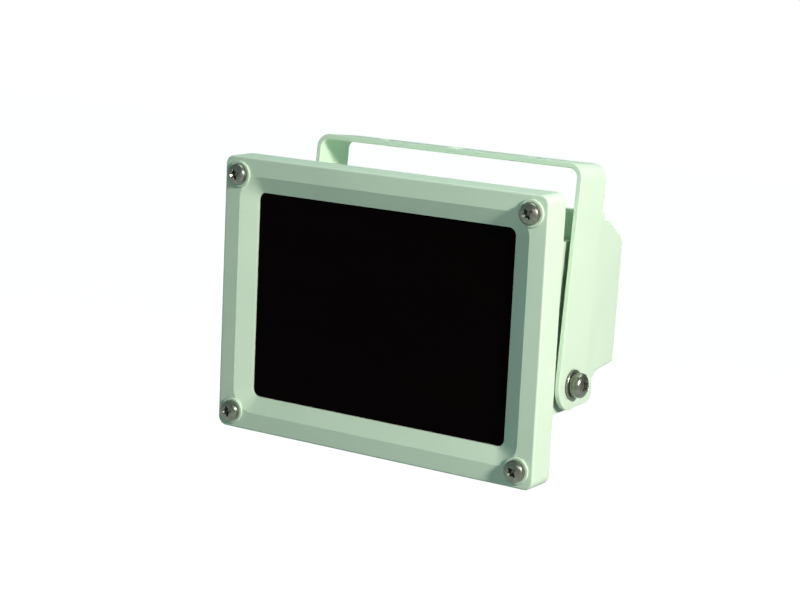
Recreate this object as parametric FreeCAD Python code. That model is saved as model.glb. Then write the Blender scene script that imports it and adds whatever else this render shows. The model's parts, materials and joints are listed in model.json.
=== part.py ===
import FreeCAD, Part
import math
import os
from FreeCAD import Vector

# Infrared illuminator hung from a folded steel bracket, in millimetres.
# The row frame has +X to the viewer's right, +Y to the back and +Z up.
# Its origin is the centre of the bracket bar's top face, on the axis of the centre mounting hole.
# The lamp housing is drawn square to its own front, with the bezel's front plane at Y = 0 and the
# window's centre on the Y axis, and is then tilted about the pivot by tilt_deg.

# Posture
tilt_deg = 5.26

# Longest distance at which two places count as one
tolerance = 1e-5

# Bracket strap
bracket_span = 118.0
strap_width = 20.0
strap_thickness = 2.0
strap_bend_radius = 3.5
strap_edge_round = 0.35
pivot_drop = 82.0
centre_hole_radius = 4.25
side_hole_radius = 2.75
side_hole_pitch = 66.0

# Pivot place, measured from the bezel's front plane and the window's centre line
pivot_back = 46.8
pivot_below = 23.3

# Pivot hardware
pivot_screw_radius = 2.5
pivot_screw_length = 20.0
pivot_head_radius = 4.75
pivot_head_height = 3.5
pivot_recess_width = 1.25
pivot_running_gap = 0.08
pivot_face_gap = 0.05
flat_washer_radius = 5.6
flat_washer_thickness = 1.0
lock_washer_radius = 4.5
lock_washer_thickness = 1.25
lock_washer_slot = 1.0
washer_bore_gap = 0.15
spacer_radius = 6.0
spacer_thickness = 1.95

# Bezel
bezel_width = 140.0
bezel_height = 105.4
bezel_depth = 12.1
bezel_corner_radius = 3.5
bezel_edge_round = 0.8
rim_width = 7.0
bevel_corner_radius = 9.0
bevel_sink = 2.9
bezel_wall = 3.0
skirt_wall = 2.5
bezel_inner_corner = 1.5

# Window
window_width = 112.1
window_height = 79.2
window_corner_radius = 3.0
window_depth = 3.8
pane_thickness = 3.0
pane_overlap = 3.0
pane_side_gap = 0.3
pane_rib = 2.0
seal_thickness = 1.5
seal_width = 2.4

# Bezel screws and the round pads that they sit on
bezel_screw_inset = 6.7
pad_radius = 5.0
pad_height = 0.8
pad_edge_round = 0.3
m4_radius = 2.0
m4_head_radius = 4.0
m4_head_height = 2.8
m4_recess_width = 1.05
bezel_screw_length = 12.0
screw_hole_gap = 0.25
thread_gap = 0.03
recess_turns = (18.0, 33.0, 40.0, 12.0)
screw_side_share = 0.35
screw_tip_chamfer = 0.4
recess_reach_share = 0.58
recess_depth_share = 0.62
crown_reach_share = 0.72
crown_rise_share = 0.66

# Lamp housing casting
flange_gap = 0.3
flange_thickness = 3.5
flange_corner_radius = 2.0
mouth_lip = 1.0
mouth_corner_radius = 4.0
casting_wall = 3.0
cheek_rise = 3.0
body_flare = 4.0
flare_end = 32.0
body_back = 81.3
body_ledge = 3.3
roof_fall_deg = 7.8
shoulder = 2.7
keel_knee = 42.0
keel_knee_drop = 35.0
keel_level = 73.0
keel_back_drop = 26.2
body_edge_round = 2.0
bulkhead_front = 30.0
bulkhead_thickness = 3.0
rear_lip_width = 4.5
rear_lip_depth = 4.0

# Cheeks that carry the pivots
cheek_front = 20.0
cheek_back = 70.5
cheek_top = 30.3
cheek_bottom = 34.6
cheek_corner_radius = 4.0
pivot_boss_radius = 6.0
pivot_boss_depth = 15.0

# Rear cover
cover_step = 2.0
cover_depth_top = 18.4
cover_lean = 1.5
cover_slope_length = 8.2
cover_slope_fall = 2.3
cover_corner_step = 1.9
cover_corner_fall = 8.0
cover_back_fall = 10.8
cover_keel_rise = 1.9
cover_wall = 3.0
cover_edge_round = 1.2
cover_seal_width = 1.6
cover_seal_thickness = 1.2
cover_screw_inset = 7.5
cover_screw_rise = 16.5
cover_screw_drop = 17.5
cover_column_radius = 5.0
cover_head_sink = 3.4
cover_screw_length = 20.0
cover_boss_length = 11.0
counterbore_gap = 0.5

# Cable gland
gland_below = 8.0
gland_pad_radius = 10.5
gland_pad_rise = 0.6
gland_thread_radius = 6.0
gland_hole_gap = 0.1
gland_flats = 15.0
gland_flange = 4.0
gland_neck_length = 8.0
gland_thread_length = 9.0
gland_bore_radius = 4.6
gland_cap_length = 14.0
gland_cap_flat_length = 9.0
gland_cap_wall = 1.4
gland_dome_bulge = 0.7
gland_cap_mouth_radius = 3.4
gland_passage_radius = 3.4
cable_radius = 2.75
bung_length = 7.5
bung_fit_gap = 0.05
locknut_thickness = 3.0

# Light engine behind the window
lens_standoff = 11.0
lens_plate_thickness = 1.6
lens_margin = 3.0
lens_web = 1.2
lens_back_radius = 4.2
lens_length = 7.6
lens_pocket_radius = 3.3
lens_pocket_depth = 3.6
lens_leg_radius = 2.0
lens_leg_inset = 2.5
led_columns = 4
led_rows = 3
led_base_radius = 3.9
led_base_height = 1.2
led_body_radius = 2.8
led_body_height = 1.0
led_lens_height = 1.8
led_tip_radius = 1.6
board_margin = 1.0
board_thickness = 1.6
board_corner_radius = 2.0
spreader_side_gap = 1.0
spreader_rise_gap = 1.4
spreader_margin = 1.0
spreader_thickness = 4.0
board_screw_inset = 3.0
m3_radius = 1.5
m3_head_radius = 2.8
m3_head_height = 2.1
board_screw_length = 8.0
sensor_radius = 2.55
sensor_height = 2.1
sensor_window_gap = 0.6
wire_hole_radius = 3.5
lead_radius = 0.9
lead_pitch = 3.2

# Driver board in the rear compartment
driver_width = 74.0
driver_height = 46.0
driver_centre_z = 6.0
driver_standoff = 8.0
post_radius = 3.0
post_inset = 4.0
driver_screw_length = 6.0
choke_radius = 7.0
choke_length = 9.0
choke_core_radius = 4.2
choke_flange = 1.6
choke_x = -20.0
choke_z = 14.0
large_can_radius = 6.3
large_can_length = 21.0
large_can_x = 12.0
large_can_z = 17.0
small_can_radius = 4.0
small_can_length = 12.0
small_can_x = -4.0
small_can_z = -6.0
can_bead = 0.5
can_bead_place = 2.5
regulator_width = 10.0
regulator_depth = 4.5
regulator_height = 15.0
regulator_x = 22.0
regulator_z = -6.0
regulator_tab = 1.3
regulator_body_share = 0.6
regulator_hole_radius = 1.8
terminal_width = 15.0
terminal_depth = 8.2
terminal_height = 10.0
terminal_x = -20.5
terminal_z = -10.0
terminal_poles = 3
terminal_hole_radius = 1.6
terminal_hole_depth = 6.0



def four_corners(x, z, middle=0.0):
    """Upper left, upper right, lower right and lower left of a rectangle given by its halves."""
    return [(-x, middle + z), (x, middle + z), (x, middle - z), (-x, middle - z)]


# Places worked out from the sizes above
bezel_half = (bezel_width / 2, bezel_height / 2)
window_half = (window_width / 2, window_height / 2)
bevel_half = (bezel_half[0] - rim_width, bezel_half[1] - rim_width)
skirt_half = (bezel_half[0] - skirt_wall, bezel_half[1] - skirt_wall)
pane_half = (window_half[0] + pane_overlap, window_half[1] + pane_overlap)
pane_pocket_half = (pane_half[0] + pane_side_gap, pane_half[1] + pane_side_gap)
rib_half = (pane_pocket_half[0] + pane_rib, pane_pocket_half[1] + pane_rib)
pane_back = window_depth + pane_thickness
flange_front = pane_back + seal_thickness
flange_back = flange_front + flange_thickness
flange_half = (skirt_half[0] - flange_gap, skirt_half[1] - flange_gap)
body_front_rise = flange_half[1] - body_ledge
keel_front_drop = body_front_rise
bezel_screws = four_corners(bezel_half[0] - bezel_screw_inset, bezel_half[1] - bezel_screw_inset)
arm_inner = bracket_span / 2 - strap_thickness
arm_outer = bracket_span / 2
cheek_half_width = arm_inner - spacer_thickness - pivot_face_gap
body_half_width = cheek_half_width - cheek_rise
body_front_half_width = body_half_width + body_flare
pivot_boss_end = cheek_half_width - pivot_boss_depth
spreader_width = 2 * (body_half_width - casting_wall - spreader_side_gap)
board_width = spreader_width - 2 * spreader_margin
lens_plate_width = board_width
chamber_run = bulkhead_front - flange_back
roof_slope = math.tan(math.radians(roof_fall_deg))
keel_slope = (keel_front_drop - keel_knee_drop) / (keel_knee - flange_back)
chamber_rise = body_front_rise - chamber_run * roof_slope - casting_wall * math.hypot(1, roof_slope)
chamber_drop = keel_front_drop - chamber_run * keel_slope - casting_wall * math.hypot(1, keel_slope)
spreader_height = 2 * (min(chamber_rise, chamber_drop) - spreader_rise_gap)
board_height = spreader_height - 2 * spreader_margin
lens_plate_height = board_height - 2 * board_margin
led_column_pitch = (lens_plate_width - 2 * lens_margin) / led_columns
led_row_pitch = lens_plate_height / led_rows
lens_front_radius = min(led_column_pitch, led_row_pitch) / 2 - lens_web
lens_leg_x = lens_plate_width / 2 - lens_leg_inset
lens_leg_z = led_row_pitch / 2
wire_hole_z = led_row_pitch / 2
bulkhead_back = bulkhead_front + bulkhead_thickness
spreader_front = bulkhead_front - spreader_thickness
board_front = spreader_front - board_thickness
lens_plate_front = board_front - lens_standoff
board_screws = four_corners(board_width / 2 - board_screw_inset, board_height / 2 - board_screw_inset)
led_places = [
    ((column - (led_columns - 1) / 2) * led_column_pitch, ((led_rows - 1) / 2 - row) * led_row_pitch)
    for row in range(led_rows)
    for column in range(led_columns)
]
driver_front = bulkhead_back + driver_standoff
driver_back = driver_front + board_thickness
driver_posts = four_corners(
    driver_width / 2 - post_inset, driver_height / 2 - post_inset, driver_centre_z
)
body_back_rise = body_front_rise - (body_back - flange_back) * roof_slope
cover_half_width = body_half_width - cover_step
cover_front_rise = body_back_rise - shoulder
cover_slope_end = body_back + cover_slope_length
cover_slope_rise = cover_front_rise - cover_slope_fall
cover_corner_rise = cover_front_rise - cover_corner_fall
cover_back_top = body_back + cover_depth_top
cover_corner_back = cover_back_top - cover_corner_step
cover_back_rise = cover_front_rise - cover_back_fall
cover_back_bottom = cover_back_top - cover_lean
cover_back_drop = keel_back_drop - cover_keel_rise
cover_back_slope = cover_lean / (cover_back_rise + cover_back_drop)
cover_screws = four_corners(
    cover_half_width - cover_screw_inset,
    (cover_screw_rise + cover_screw_drop) / 2,
    (cover_screw_rise - cover_screw_drop) / 2,
)


def back_face_y(z):
    """Y of the rear cover's back face at height z."""
    return cover_back_top - (cover_back_rise - z) * cover_back_slope


cover_head_seat = back_face_y(-cover_screw_drop) - cover_head_sink
gland_seat = back_face_y(-gland_below) + gland_pad_rise
gland_inner_seat = back_face_y(-gland_below - gland_pad_radius) - cover_wall


def rounded_outline(half, radius, y):
    """Closed wire of a rounded rectangle in the plane at y, centred on the Y axis."""
    hx, hz = half
    k = radius * (1 - math.sqrt(0.5))
    edges = []
    corners = [(1, 1), (-1, 1), (-1, -1), (1, -1)]
    for index, (sx, sz) in enumerate(corners):
        first = Vector(sx * hx, y, sz * (hz - radius))
        middle = Vector(sx * (hx - k), y, sz * (hz - k))
        last = Vector(sx * (hx - radius), y, sz * hz)
        if sx * sz < 0:
            first, last = last, first
        edges.append(Part.Arc(first, middle, last).toShape())
        nx, nz = corners[(index + 1) % 4]
        start = Vector(nx * hx, y, nz * (hz - radius))
        if nx * nz < 0:
            start = Vector(nx * (hx - radius), y, nz * hz)
        edges.append(Part.LineSegment(last, start).toShape())
    return Part.Wire(edges)


def slab(half, radius, y0, y1):
    """Rounded rectangular slab between two planes across Y."""
    face = Part.Face(rounded_outline(half, radius, y0))
    return face.extrude(Vector(0, y1 - y0, 0))


def rod(x, z, radius, y0, y1):
    """Round rod along Y."""
    return Part.makeCylinder(radius, y1 - y0, Vector(x, y0, z), Vector(0, 1, 0))


def block(x0, x1, y0, y1, z0, z1):
    """Plain box from its corners."""
    return Part.makeBox(x1 - x0, y1 - y0, z1 - z0, Vector(x0, y0, z0))


def side_prism(points, half_width):
    """Prism along X of a closed outline given as (y, z) points."""
    corners = [Vector(-half_width, y, z) for y, z in points]
    face = Part.Face(Part.makePolygon(corners + corners[:1]))
    return face.extrude(Vector(2 * half_width, 0, 0))


def plan_prism(points, z0, z1):
    """Prism along Z of a closed outline given as (x, y) points."""
    corners = [Vector(x, y, z0) for x, y in points]
    face = Part.Face(Part.makePolygon(corners + corners[:1]))
    return face.extrude(Vector(0, 0, z1 - z0))


def inset(points, distance):
    """Corner points of a convex outline, each side moved inwards by distance."""
    count = len(points)
    centre = [sum(p[i] for p in points) / count for i in (0, 1)]
    sides = []
    for index in range(count):
        (ax, ay), (bx, by) = points[index], points[(index + 1) % count]
        length = math.hypot(bx - ax, by - ay)
        nx, ny = (ay - by) / length, (bx - ax) / length
        if nx * (centre[0] - ax) + ny * (centre[1] - ay) < 0:
            nx, ny = -nx, -ny
        sides.append((nx, ny, nx * ax + ny * ay + distance))
    result = []
    for index in range(count):
        a1, b1, c1 = sides[index - 1]
        a2, b2, c2 = sides[index]
        det = a1 * b2 - a2 * b1
        result.append(((c1 * b2 - c2 * b1) / det, (a1 * c2 - a2 * c1) / det))
    return result


def at_y(shape_edge, y):
    """True for an edge that lies in the plane at y."""
    box = shape_edge.BoundBox
    return abs(box.YMin - y) < tolerance and abs(box.YMax - y) < tolerance


def turned(profile_points, arcs=()):
    """Solid of revolution about Z from (r, z) points; arcs maps a point's index to a mid point."""
    edges = []
    count = len(profile_points)
    middles = dict(arcs)
    for index in range(count):
        r0, z0 = profile_points[index]
        r1, z1 = profile_points[(index + 1) % count]
        a, b = Vector(r0, 0, z0), Vector(r1, 0, z1)
        if index in middles:
            rm, zm = middles[index]
            edges.append(Part.Arc(a, Vector(rm, 0, zm), b).toShape())
        else:
            edges.append(Part.LineSegment(a, b).toShape())
    face = Part.Face(Part.Wire(edges))
    return face.revolve(Vector(0, 0, 0), Vector(0, 0, 1), 360)


def pan_screw(radius, length, head_radius, head_height, recess_width, turn):
    """Pan head screw with a cross recess: head above Z = 0, shank below."""
    side = head_height * screw_side_share
    outline = [
        (0, -length),
        (radius - screw_tip_chamfer, -length),
        (radius, screw_tip_chamfer - length),
        (radius, 0),
        (head_radius, 0),
        (head_radius, side),
        (0, head_height),
    ]
    crown = (head_radius * crown_reach_share, side + (head_height - side) * crown_rise_share)
    screw = turned(outline, {5: crown})
    reach = head_radius * recess_reach_share
    floor = head_height * (1 - recess_depth_share)
    half = recess_width / 2
    for angle in (turn, turn + 90):
        slot = block(-reach, reach, -half, half, floor, 2 * head_height)
        slot.rotate(Vector(0, 0, 0), Vector(0, 0, 1), angle)
        screw = screw.cut(slot)
    return screw


def cheese_screw(radius, length, head_radius, head_height):
    """Plain screw with a straight-sided, chamfered head above Z = 0, used inside the lamp."""
    return turned(
        [
            (0, -length),
            (radius, -length),
            (radius, 0),
            (head_radius, 0),
            (head_radius, head_height - screw_tip_chamfer),
            (head_radius - screw_tip_chamfer, head_height),
            (0, head_height),
        ]
    )


def point_forward(shape, x, y, z):
    """Turn a shape drawn along Z so that its top points to -Y, and put its origin at a place."""
    shape.rotate(Vector(0, 0, 0), Vector(1, 0, 0), 90)
    shape.translate(Vector(x, y, z))
    return shape


def point_back(shape, x, y, z):
    """Turn a shape drawn along Z so that its top points to +Y, and put its origin at a place."""
    shape.rotate(Vector(0, 0, 0), Vector(1, 0, 0), -90)
    shape.translate(Vector(x, y, z))
    return shape


def point_side(shape, side, x):
    """Turn a shape drawn along Z so that its top points to one side, with its origin on the pivot."""
    shape.rotate(Vector(0, 0, 0), Vector(0, 1, 0), 90 * side)
    shape.translate(Vector(side * x, pivot_back, -pivot_below))
    return shape


def hex_bar(flats, height):
    """Hexagonal bar along Z, given across its flats."""
    corner = flats / math.sqrt(3)
    points = [
        Vector(corner * math.cos(math.radians(60 * i)), corner * math.sin(math.radians(60 * i)), 0)
        for i in range(6)
    ]
    return Part.Face(Part.makePolygon(points + points[:1])).extrude(Vector(0, 0, height))


def front_bezel():
    """Cast cap: flat rim, bevel down to the window, skirt over the flange, pads under the screws."""
    bezel = slab(bezel_half, bezel_corner_radius, 0, bezel_depth)
    bezel = bezel.makeFillet(bezel_edge_round, [e for e in bezel.Edges if at_y(e, 0)])
    for x, z in bezel_screws:
        pad = rod(x, z, pad_radius, -pad_height, bezel_wall)
        pad = pad.makeFillet(pad_edge_round, [e for e in pad.Edges if at_y(e, -pad_height)])
        bezel = bezel.fuse(pad)
    bevel = Part.makeLoft(
        [
            rounded_outline(bevel_half, bevel_corner_radius, 0),
            rounded_outline(window_half, window_corner_radius, bevel_sink),
        ],
        True,
        True,
    )
    pads = [rod(x, z, pad_radius, 0, bezel_wall) for x, z in bezel_screws]
    bezel = bezel.cut(bevel.cut(Part.makeCompound(pads)))
    bezel = bezel.cut(slab(window_half, window_corner_radius, bevel_sink, bezel_depth))
    channel = slab(skirt_half, bezel_inner_corner, bezel_wall, bezel_depth)
    channel = channel.cut(slab(rib_half, window_corner_radius, bezel_wall, flange_front))
    bosses = [rod(x, z, pad_radius, bezel_wall, flange_front) for x, z in bezel_screws]
    bezel = bezel.cut(channel.cut(Part.makeCompound(bosses)))
    bezel = bezel.cut(slab(pane_pocket_half, window_corner_radius, window_depth, flange_front))
    bezel = bezel.cut(slab(rib_half, window_corner_radius, pane_back, flange_front))
    for x, z in bezel_screws:
        bezel = bezel.cut(rod(x, z, m4_radius + screw_hole_gap, -pad_height, bezel_depth))
    return bezel.removeSplitter()


def filter_window():
    """Dark pane that passes infrared only."""
    return slab(pane_half, window_corner_radius, window_depth, pane_back)


def window_seal():
    """Flat rubber ring between the pane and the housing."""
    inner = (pane_half[0] - seal_width, pane_half[1] - seal_width)
    ring = slab(pane_half, window_corner_radius, pane_back, flange_front)
    return ring.cut(slab(inner, window_corner_radius / 2, pane_back, flange_front))


def roof_height(y):
    """Height of the sloping roof of the casting at a place along Y."""
    return body_front_rise - (y - flange_back) * roof_slope


def body_side_outline(front, back):
    """Side view of the casting between two planes, as (y, z) points."""
    return [
        (front, roof_height(front)),
        (back, roof_height(back)),
        (back, -keel_back_drop),
        (keel_level, -keel_back_drop),
        (keel_knee, -keel_knee_drop),
        (front, -keel_knee_drop - (keel_knee - front) * keel_slope),
    ]


def body_plan_outline(front, back):
    """Plan of the casting between two planes, as (x, y) points."""
    flare = (body_front_half_width - body_half_width) / (flare_end - flange_back)
    front_half = body_half_width + (flare_end - front) * flare
    return [
        (-front_half, front),
        (front_half, front),
        (body_half_width, flare_end),
        (body_half_width, back),
        (-body_half_width, back),
        (-body_half_width, flare_end),
    ]


def body_space(distance):
    """Space of the casting, its walls moved inwards by distance and its two ends left in place."""
    far = body_back + 2 * distance
    near = flange_back - 2 * distance
    sides = side_prism(inset(body_side_outline(near, far), distance), bezel_width)
    plan = plan_prism(inset(body_plan_outline(near, far), distance), -bezel_height, bezel_height)
    ends = block(-bezel_width, bezel_width, flange_back, body_back, -bezel_height, bezel_height)
    return sides.common(plan).common(ends)


def cheek(side):
    """Raised pad on one side of the casting, with rounded corners."""
    half = ((cheek_back - cheek_front) / 2, (cheek_top + cheek_bottom) / 2)
    pad = slab(half, cheek_corner_radius, body_half_width - casting_wall, cheek_half_width)
    pad.rotate(Vector(0, 0, 0), Vector(0, 0, 1), -90)
    pad.translate(Vector(0, (cheek_front + cheek_back) / 2, (cheek_top - cheek_bottom) / 2))
    if side < 0:
        pad = pad.mirror(Vector(0, 0, 0), Vector(1, 0, 0))
    return pad


def main_housing():
    """Casting with a flange, a light chamber, a bulkhead, a driver chamber and two cheeks."""
    body = body_space(0)
    back_edges = [e for e in body.Edges if at_y(e, body_back) and e.BoundBox.ZMax > 0]
    body = body.makeChamfer(shoulder, back_edges)
    roof_edges = []
    for edge in body.Edges:
        box = edge.BoundBox
        if box.XLength < tolerance and box.YLength > shoulder and box.ZMin > 0:
            roof_edges.append(edge)
    body = body.makeFillet(body_edge_round, roof_edges)
    body = body.fuse(slab(flange_half, flange_corner_radius, flange_front, flange_back))
    body = body.fuse([cheek(1), cheek(-1)])
    inner = body_space(casting_wall)
    lip = block(
        -bezel_width, bezel_width, body_back - rear_lip_depth, body_back, -bezel_height, bezel_height
    )
    bulkhead = block(
        -bezel_width, bezel_width, bulkhead_front, bulkhead_back, -bezel_height, bezel_height
    )
    body = body.cut(inner.cut(lip).cut(bulkhead))
    body = body.cut(body_space(casting_wall + rear_lip_width).common(lip))
    mouth_half = (body_front_half_width - casting_wall - mouth_lip, window_half[1] - mouth_lip)
    body = body.cut(slab(mouth_half, mouth_corner_radius, flange_front, flange_back))
    for side in (-1, 1):
        boss = Part.makeCylinder(pivot_boss_radius, body_half_width - pivot_boss_end)
        body = body.fuse(point_side(boss, side, pivot_boss_end))
    for x, z in cover_screws:
        body = body.fuse(rod(x, z, cover_column_radius, body_back - cover_boss_length, body_back))
    for x, z in driver_posts:
        body = body.fuse(rod(x, z, post_radius, bulkhead_back, driver_front))
    for side in (-1, 1):
        depth = cheek_half_width - pivot_boss_end
        bore = Part.makeCylinder(pivot_screw_radius + thread_gap, depth)
        body = body.cut(point_side(bore, side, pivot_boss_end))
    for x, z in bezel_screws:
        body = body.cut(rod(x, z, m4_radius + thread_gap, flange_front, flange_back))
    for x, z in board_screws:
        body = body.cut(rod(x, z, m3_radius + thread_gap, bulkhead_front, bulkhead_back))
    for x, z in driver_posts:
        body = body.cut(rod(x, z, m3_radius + thread_gap, bulkhead_back, driver_front))
    for x, z in cover_screws:
        body = body.cut(rod(x, z, m4_radius + thread_gap, body_back - cover_boss_length, body_back))
    body = body.cut(rod(0, wire_hole_z, wire_hole_radius, bulkhead_front, bulkhead_back))
    return body.removeSplitter()


def cover_outline(front):
    """Side view of the rear cover from a front plane backwards, as (y, z) points."""
    slope = (cover_front_rise - cover_slope_rise) / (cover_slope_end - body_back)
    bottom_slope = (keel_back_drop - cover_back_drop) / (cover_back_bottom - body_back)
    ahead = body_back - front
    return [
        (front, cover_front_rise + ahead * slope),
        (cover_slope_end, cover_slope_rise),
        (cover_corner_back, cover_corner_rise),
        (cover_back_top, cover_back_rise),
        (cover_back_bottom, -cover_back_drop),
        (front, -keel_back_drop - ahead * bottom_slope),
    ]


def cover_space(distance):
    """Space of the rear cover, its walls moved inwards by distance and its open end left in place."""
    outline = inset(cover_outline(body_back - 2 * distance), distance)
    space = side_prism(outline, cover_half_width - distance)
    behind = block(-bezel_width, bezel_width, body_back, 2 * body_back, -bezel_height, bezel_height)
    return space.common(behind)


def seal_space():
    """Ring just inside the rear cover's edge where its seal lies."""
    outer = cover_space(cover_wall - cover_seal_width)
    outer = outer.cut(cover_space(cover_wall))
    reach = block(
        -bezel_width,
        bezel_width,
        body_back,
        body_back + cover_seal_thickness,
        -bezel_height,
        bezel_height,
    )
    return outer.common(reach)


def rear_cover():
    """Cast lid of the driver compartment, with screw columns and a flat pad for the gland."""
    cover = cover_space(0)
    cover = cover.makeFillet(cover_edge_round, [e for e in cover.Edges if not at_y(e, body_back)])
    pad = rod(0, -gland_below, gland_pad_radius, gland_inner_seat, gland_seat)
    cover = cover.fuse(pad)
    cavity = cover_space(cover_wall)
    columns = [rod(x, z, cover_column_radius, body_back, 2 * body_back) for x, z in cover_screws]
    columns.append(pad)
    cover = cover.cut(cavity.cut(Part.makeCompound(columns)))
    cover = cover.cut(seal_space())
    for x, z in cover_screws:
        cover = cover.cut(rod(x, z, m4_radius + screw_hole_gap, body_back, cover_head_seat))
        cover = cover.cut(
            rod(x, z, m4_head_radius + counterbore_gap, cover_head_seat, cover_head_seat + body_back)
        )
    hole = rod(0, -gland_below, gland_thread_radius + gland_hole_gap, body_back, gland_seat)
    return cover.cut(hole).removeSplitter()


def gland_body():
    """Gland body: thread through the cover, hexagon outside it and a neck for the cap."""
    inner_end = -(gland_seat - gland_inner_seat) - gland_thread_length + locknut_thickness
    body = Part.makeCylinder(gland_thread_radius, gland_neck_length - inner_end, Vector(0, 0, inner_end))
    body = body.fuse(hex_bar(gland_flats, gland_flange))
    total = gland_neck_length - inner_end
    body = body.cut(Part.makeCylinder(gland_passage_radius, total, Vector(0, 0, inner_end)))
    seat = gland_neck_length - bung_length
    body = body.cut(Part.makeCylinder(gland_bore_radius, bung_length, Vector(0, 0, seat)))
    return point_back(body, 0, gland_seat, -gland_below)


def gland_bung():
    """Rubber sleeve that grips the cable."""
    radius = gland_bore_radius - bung_fit_gap
    seat = gland_neck_length - bung_length
    bung = Part.makeCylinder(radius, bung_length, Vector(0, 0, seat))
    bung = bung.cut(Part.makeCylinder(cable_radius, bung_length, Vector(0, 0, seat)))
    return point_back(bung, 0, gland_seat, -gland_below)


def gland_cap():
    """Domed nut that squeezes the sleeve, with a round mouth."""
    base = gland_flange
    cap = hex_bar(gland_flats, gland_cap_length)
    corner = gland_flats / math.sqrt(3)
    rim = gland_cap_mouth_radius + gland_cap_wall
    middle = (corner + rim) / 2 + gland_dome_bulge
    rise = (gland_cap_flat_length + gland_cap_length) / 2 + gland_dome_bulge
    dome = turned(
        [
            (0, 0),
            (corner, 0),
            (corner, gland_cap_flat_length),
            (rim, gland_cap_length),
            (0, gland_cap_length),
        ],
        {2: (middle, rise)},
    )
    cap = cap.common(dome)
    cap.translate(Vector(0, 0, base))
    thread = gland_neck_length - base
    cap = cap.cut(Part.makeCylinder(gland_thread_radius + bung_fit_gap, thread, Vector(0, 0, base)))
    cap = cap.cut(Part.makeCylinder(gland_cap_mouth_radius, gland_cap_length, Vector(0, 0, base)))
    return point_back(cap, 0, gland_seat, -gland_below)


def gland_locknut():
    """Thin nut on the gland's thread inside the cover."""
    nut = hex_bar(gland_flats, locknut_thickness)
    nut = nut.cut(Part.makeCylinder(gland_thread_radius + thread_gap, locknut_thickness))
    return point_back(nut, 0, gland_inner_seat - locknut_thickness, -gland_below)


def lens_plate():
    """Moulded plate of conical lenses, one over each emitter, on four legs."""
    plate_half = (lens_plate_width / 2, lens_plate_height / 2)
    plate_back = lens_plate_front + lens_plate_thickness
    plate = slab(plate_half, board_corner_radius, lens_plate_front, plate_back)
    cones = []
    pockets = []
    for x, z in led_places:
        place = Vector(x, plate_back, z)
        cones.append(
            Part.makeCone(lens_front_radius, lens_back_radius, lens_length, place, Vector(0, 1, 0))
        )
        tip = plate_back + lens_length
        pockets.append(rod(x, z, lens_pocket_radius, tip - lens_pocket_depth, tip))
    for sx in (-1, 1):
        for sz in (-1, 1):
            cones.append(rod(sx * lens_leg_x, sz * lens_leg_z, lens_leg_radius, plate_back, board_front))
    plate = plate.fuse(cones)
    plate = plate.cut(Part.makeCompound(pockets))
    window = rod(lens_leg_x, 0, sensor_radius + sensor_window_gap, lens_plate_front, plate_back)
    return plate.cut(window)


def led_emitter(x, z):
    """Emitter with a round base, a collar and a tapered lens, facing the window."""
    collar = led_base_height + led_body_height
    tip = collar + led_lens_height
    emitter = turned(
        [
            (0, 0),
            (led_base_radius, 0),
            (led_base_radius, led_base_height),
            (led_body_radius, led_base_height),
            (led_body_radius, collar),
            (led_tip_radius, tip),
            (0, tip),
        ]
    )
    return point_forward(emitter, x, board_front, z)


def board_with_holes(width, height, y0, y1, hole_radius):
    """Plate with four corner screw holes and a wire hole."""
    plate = slab((width / 2, height / 2), board_corner_radius, y0, y1)
    for x, z in board_screws:
        plate = plate.cut(rod(x, z, hole_radius, y0, y1))
    return plate


def led_board():
    """Circuit board of the emitters."""
    return board_with_holes(
        board_width, board_height, board_front, spreader_front, m3_radius + screw_hole_gap
    )


def heat_spreader():
    """Aluminium plate between the emitters' board and the bulkhead."""
    plate = board_with_holes(
        spreader_width, spreader_height, spreader_front, bulkhead_front, m3_radius + screw_hole_gap
    )
    return plate.cut(rod(0, wire_hole_z, wire_hole_radius, spreader_front, bulkhead_front))


def light_sensor():
    """Small round cell that switches the lamp on at dusk."""
    cell = Part.makeCylinder(sensor_radius, sensor_height)
    return point_forward(cell, lens_leg_x, board_front, 0)


def led_lead(side):
    """Short wire from the driver board to the back of the emitters' board."""
    return rod(side * lead_pitch / 2, wire_hole_z, lead_radius, spreader_front, driver_front)


def driver_board():
    """Driver's circuit board on four posts."""
    board = slab((driver_width / 2, driver_height / 2), board_corner_radius, driver_front, driver_back)
    board.translate(Vector(0, 0, driver_centre_z))
    for x, z in driver_posts:
        board = board.cut(rod(x, z, m3_radius + screw_hole_gap, driver_front, driver_back))
    return board


def driver_choke():
    """Drum core with its winding between two flanges."""
    waist = choke_radius - can_bead
    choke = turned(
        [
            (0, 0),
            (choke_radius, 0),
            (choke_radius, choke_flange),
            (waist, choke_flange),
            (waist, choke_length - choke_flange),
            (choke_radius, choke_length - choke_flange),
            (choke_radius, choke_length),
            (choke_core_radius, choke_length),
            (choke_core_radius, choke_length - can_bead),
            (0, choke_length - can_bead),
        ]
    )
    return point_back(choke, choke_x, driver_back, choke_z)


def capacitor(radius, length, x, z):
    """Round capacitor can with a bead near its base."""
    can = turned(
        [
            (0, 0),
            (radius, 0),
            (radius, can_bead_place),
            (radius - can_bead, can_bead_place + can_bead),
            (radius, can_bead_place + 2 * can_bead),
            (radius, length - can_bead),
            (radius - can_bead, length),
            (0, length),
        ]
    )
    return point_back(can, x, driver_back, z)


def driver_regulator():
    """Power transistor: moulded body on a taller metal tab with a hole."""
    x0, x1 = regulator_x - regulator_width / 2, regulator_x + regulator_width / 2
    z0 = regulator_z - regulator_depth / 2
    top = driver_back + regulator_height
    moulding = driver_back + regulator_height * regulator_body_share
    shape = block(x0, x1, driver_back, moulding, z0, z0 + regulator_depth)
    shape = shape.fuse(block(x0, x1, driver_back, top, z0, z0 + regulator_tab))
    hole = Part.makeCylinder(
        regulator_hole_radius,
        regulator_depth,
        Vector(regulator_x, (moulding + top) / 2, z0),
        Vector(0, 0, 1),
    )
    return shape.cut(hole).removeSplitter()


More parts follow.
